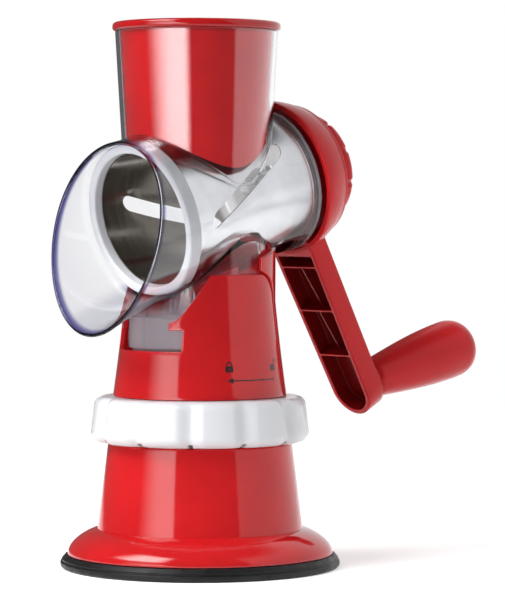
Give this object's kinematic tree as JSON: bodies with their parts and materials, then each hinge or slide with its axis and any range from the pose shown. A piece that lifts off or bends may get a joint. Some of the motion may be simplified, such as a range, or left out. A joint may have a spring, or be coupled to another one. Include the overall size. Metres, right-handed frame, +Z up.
{
  "type": "hand cranked drum vegetable cutter",
  "caption": "Drum vegetable cutter on a suction stand: clear housing with hopper and scoop, slotted steel drum, pusher, rear crank with turning grip, and a ring that works the suction foot.",
  "frame": {"origin": "centre of the suction pad's flat underside, on the bench", "axes": "+Z up along the stand's axis, -Y the way the cut food leaves at the scoop, +Y the crank side, X across the drum"},
  "size_m": [0.136, 0.2493, 0.2639],
  "materials": {
    "red_plastic": "glossy moulded plastic",
    "white_plastic": "satin moulded plastic",
    "clear_plastic": "clear moulded plastic with a cool tint",
    "stainless_steel": "bright stainless steel",
    "black_rubber": "soft black rubber",
    "brass_nut": "plain brass",
    "white_acetal": "matt moulded plastic"
  },
  "bodies": {
    "stand": {"suction_pad": "black_rubber", "lower_stand": "red_plastic", "return_spring": "stainless_steel", "stand_screw_1": "stainless_steel", "stand_screw_2": "stainless_steel", "stand_screw_3": "stainless_steel", "stand_screw_4": "stainless_steel", "upper_stand": "red_plastic", "rear_post": "red_plastic"},
    "ring": {"lock_ring": "white_plastic"},
    "lifter": {"suction_stem": "stainless_steel", "lift_yoke": "white_acetal", "cam_pin_1": "stainless_steel", "cam_pin_2": "stainless_steel", "cam_pin_3": "stainless_steel", "stem_washer": "stainless_steel", "stem_nut": "brass_nut"},
    "head": {"drum_housing": "clear_plastic", "shaft_bush": "white_acetal"},
    "crank": {"crank_arm": "red_plastic", "crank_spacer": "white_acetal", "drive_shaft": "stainless_steel", "hub_screw": "stainless_steel", "hub_cap": "red_plastic", "grip_pin": "stainless_steel"},
    "handle": {"grip": "red_plastic"},
    "drum": {"drum_shell": "stainless_steel", "drum_front_ring": "white_plastic", "drum_back_plate": "stainless_steel", "drum_hub": "white_plastic", "drum_rivet_1": "stainless_steel", "drum_rivet_2": "stainless_steel", "drum_rivet_3": "stainless_steel", "drum_rivet_4": "stainless_steel"},
    "plunger": {"pusher": "red_plastic"}
  },
  "joints": [
    {"name": "ring_turn", "type": "hinge", "parent": "stand", "child": "ring", "pos_m": [0, 0, 0.072], "axis": [0, 0, -1], "range_deg": [0, 45]},
    {"name": "suction_lift", "type": "slide", "parent": "stand", "child": "lifter", "axis": [0, 0, 1], "range_m": [0, 0.003], "deforming": ["return_spring"]},
    {"name": "head_lift", "type": "slide", "parent": "stand", "child": "head", "axis": [0, 0, 1], "range_m": [0, 0.065]},
    {"name": "crank_turn", "type": "hinge", "parent": "head", "child": "crank", "pos_m": [0, 0, 0.177], "axis": [0, 0.9724, 0.2334], "continuous": true},
    {"name": "drum_draw", "type": "slide", "parent": "crank", "child": "drum", "axis": [0, -0.9724, -0.2334], "range_m": [0, 0.095]},
    {"name": "grip_spin", "type": "hinge", "parent": "crank", "child": "handle", "pos_m": [0, 0.11257, 0.08678], "axis": [0, 0.9724, 0.2334], "continuous": true},
    {"name": "pusher_lift", "type": "slide", "parent": "head", "child": "plunger", "axis": [0, 0, 1], "range_m": [0, 0.11]}
  ],
  "couplings": [
    {"joint": "ring_turn", "follows": "suction_lift", "rad_per_m": 261.79}
  ]
}
